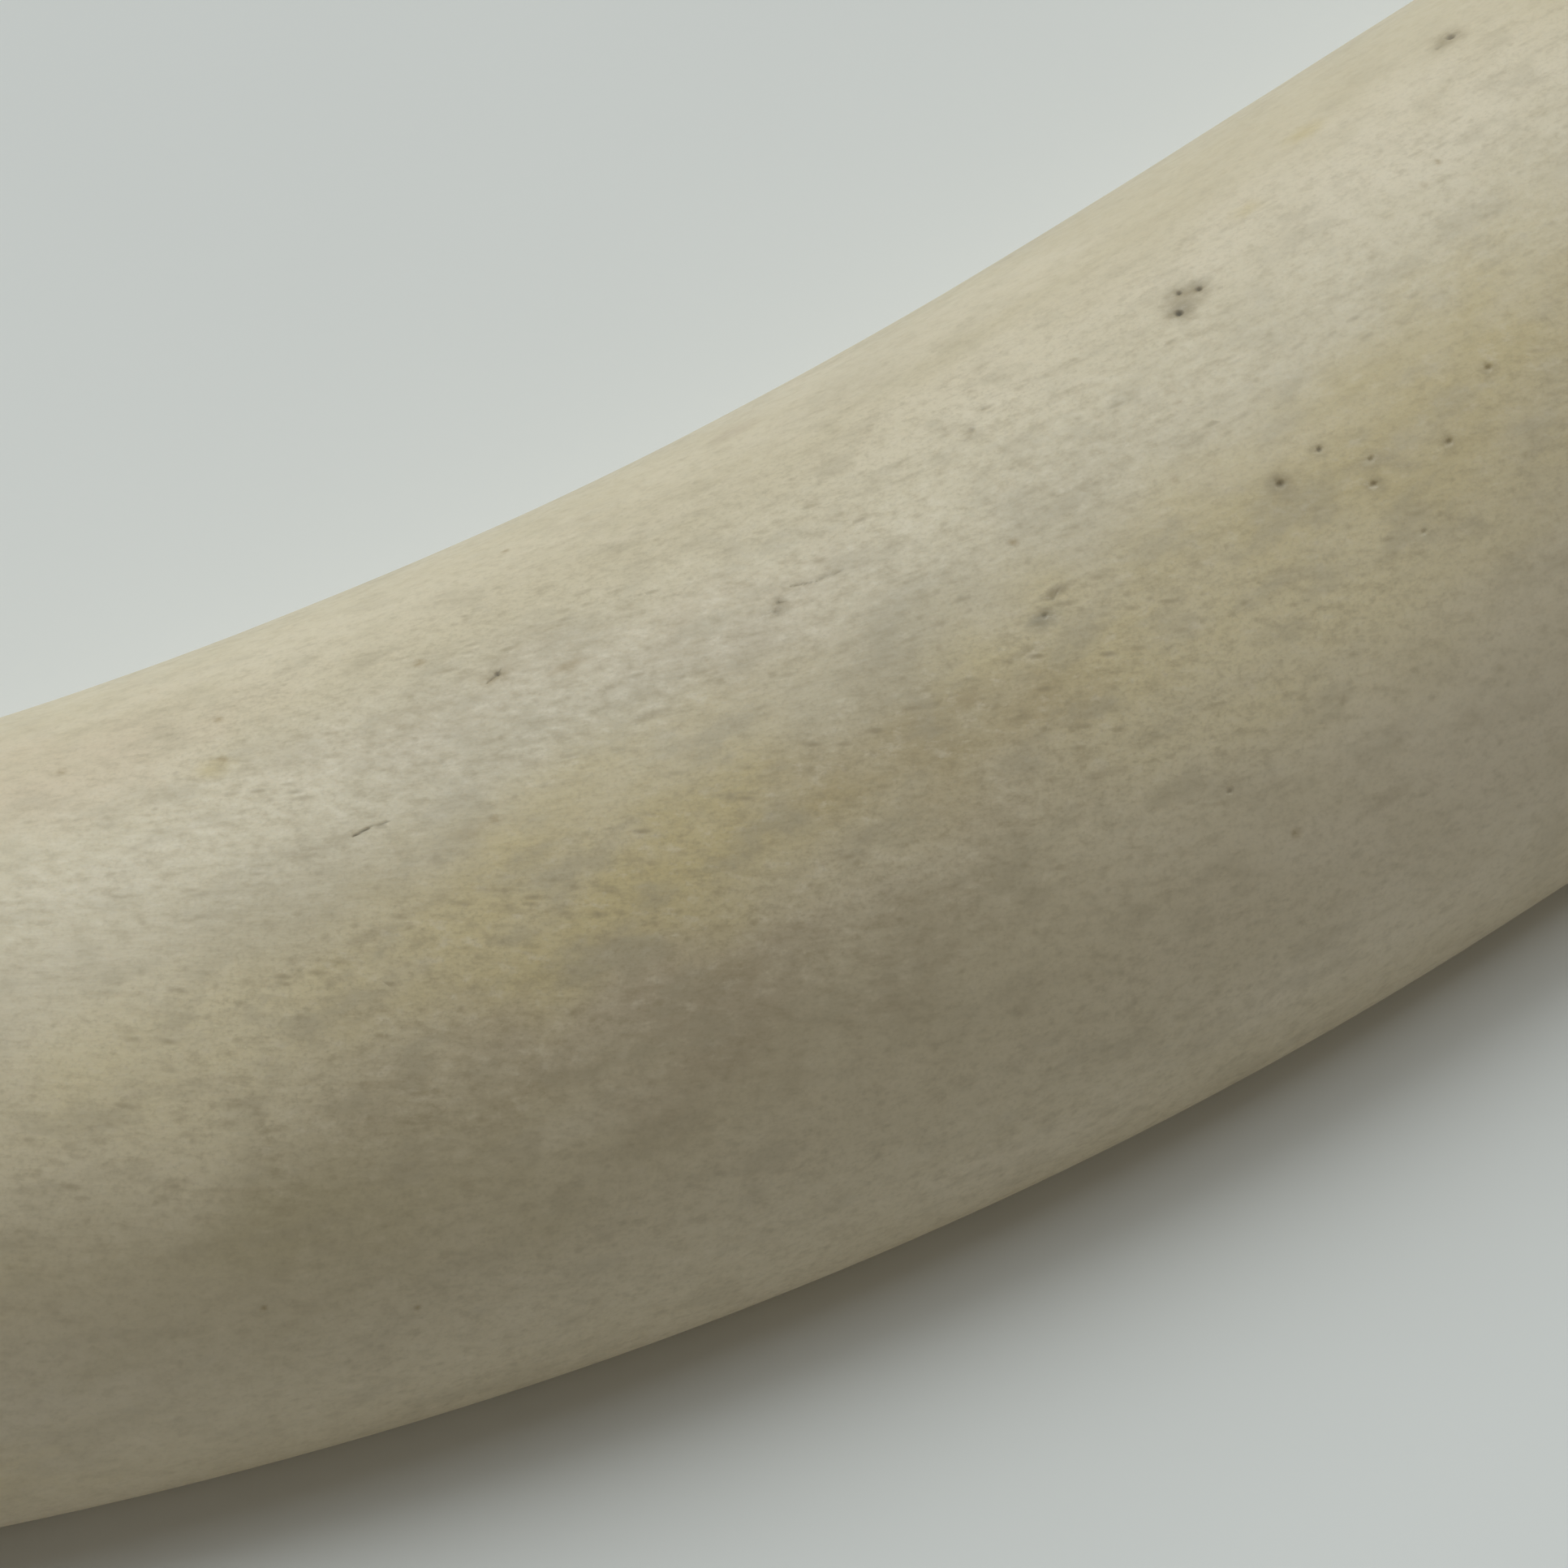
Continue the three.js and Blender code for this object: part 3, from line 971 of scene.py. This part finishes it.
def mix_paper(studio):
    """Matt white paper with a faint fibrous unevenness."""
    paper = Recipe("matt paper")
    place = paper.node("ShaderNodeTexCoord", {}).outputs["Object"]
    cloud = paper.noise(place, (20 * MM, 20 * MM, 20 * MM), detail=3)
    shade = [0.985 * part for part in studio.paper]
    colour = paper.mix(rgba(studio.paper), rgba(shade), paper.ramp(cloud, 0.35, 0.7))
    fibres = paper.noise(place, (0.5 * MM, 0.5 * MM, 0.5 * MM), detail=3, roughness=0.6)
    bump = paper.node("ShaderNodeBump", {"Strength": 0.10, "Distance": 0.02 * MM, "Height": fibres})
    paper.tree.links.new(colour, paper.shader.inputs["Base Color"])
    paper.tree.links.new(bump.outputs[0], paper.shader.inputs["Normal"])
    paper.shader.inputs["Roughness"].default_value = 0.85
    return paper.material


def light_surround(studio):
    """A dim even surround, behind which the camera sees a plain pale wall."""
    world = bpy.data.worlds.new("surround")
    world.use_nodes = True
    nodes, links = world.node_tree.nodes, world.node_tree.links
    light, wall = nodes["Background"], nodes.new("ShaderNodeBackground")
    light.inputs["Color"].default_value = rgba(SURROUND_COLOUR)
    light.inputs["Strength"].default_value = studio.surround
    wall.inputs["Color"].default_value = rgba(WALL_COLOUR)
    wall.inputs["Strength"].default_value = 1.0
    ray, choice = nodes.new("ShaderNodeLightPath"), nodes.new("ShaderNodeMixShader")
    links.new(ray.outputs["Is Camera Ray"], choice.inputs[0])
    links.new(light.outputs[0], choice.inputs[1])
    links.new(wall.outputs[0], choice.inputs[2])
    links.new(choice.outputs[0], nodes["World Output"].inputs[0])
    bpy.context.scene.world = world


def hang_light(studio, name, bearing, height, width, strength):
    """Add a broad far light, bearing degrees to the left of the camera's right."""
    bpy.ops.object.light_add(type="SUN")
    light = bpy.context.object
    light.name = name
    light.data.energy = strength
    light.data.angle = width
    light.data.color = LIGHT_COLOUR
    aim_from(light, direction(studio.camera_turn + math.radians(bearing + 90), height))


class BONE_FOLDER_OT_set_stage(bpy.types.Operator):
    """Lay white paper under the folder, light it softly from beyond and aim the camera"""

    bl_idname = "bone_folder.set_stage"
    bl_label = "Set stage"

    def execute(self, context):
        studio = context.scene.studio_setup
        bpy.ops.object.select_all(action="DESELECT")
        bpy.ops.mesh.primitive_plane_add(size=PAPER_SIZE, location=(0, 0, -PAPER_GAP))
        paper = context.object
        paper.name = "paper"
        paper.data.materials.append(mix_paper(studio))
        light_surround(studio)
        for bearing, share in WINDOW_BEARINGS:
            hang_light(
                studio, f"window_{bearing}", bearing, studio.window_height, studio.window_width,
                studio.window_light * share)
        hang_light(studio, "wall", WALL_BEARING, WALL_HEIGHT, WALL_WIDTH, studio.wall_light)
        toward = direction(studio.camera_turn, studio.camera_height)
        bpy.ops.object.camera_add(location=Vector(studio.camera_aim) + studio.camera_distance * toward)
        camera = context.object
        camera.name = "camera"
        camera.data.lens = studio.camera_lens
        camera.data.clip_start = 5 * MM
        aim_from(camera, toward)
        context.scene.camera = camera
        context.scene.view_settings.view_transform = "Standard"
        return {"FINISHED"}


class BONE_FOLDER_PT_panel(bpy.types.Panel):
    """The folder's sizes, colours and steps, in the sidebar"""

    bl_label = "Bone Folder"
    bl_space_type = "VIEW_3D"
    bl_region_type = "UI"
    bl_category = "Bone Folder"

    def draw(self, context):
        scene = context.scene
        for step in (BONE_FOLDER_OT_carve_blade, BONE_FOLDER_OT_set_stage):
            self.layout.operator(step.bl_idname)
        for settings in (scene.folder_sizes, scene.bone_finish, scene.studio_setup):
            box = self.layout.box()
            for name in settings.__annotations__:
                box.prop(settings, name)


CLASSES = (
    FolderSizes, BoneFinish, StudioSetup,
    BONE_FOLDER_OT_carve_blade, BONE_FOLDER_OT_set_stage, BONE_FOLDER_PT_panel,
)


def register():
    for kind in CLASSES:
        bpy.utils.register_class(kind)
    bpy.types.Scene.folder_sizes = bpy.props.PointerProperty(type=FolderSizes)
    bpy.types.Scene.bone_finish = bpy.props.PointerProperty(type=BoneFinish)
    bpy.types.Scene.studio_setup = bpy.props.PointerProperty(type=StudioSetup)


def unregister():
    del bpy.types.Scene.studio_setup
    del bpy.types.Scene.bone_finish
    del bpy.types.Scene.folder_sizes
    for kind in reversed(CLASSES):
        bpy.utils.unregister_class(kind)


def main():
    register()
    bpy.ops.bone_folder.carve_blade()
    bpy.ops.bone_folder.set_stage()


if __name__ == "__main__":
    main()
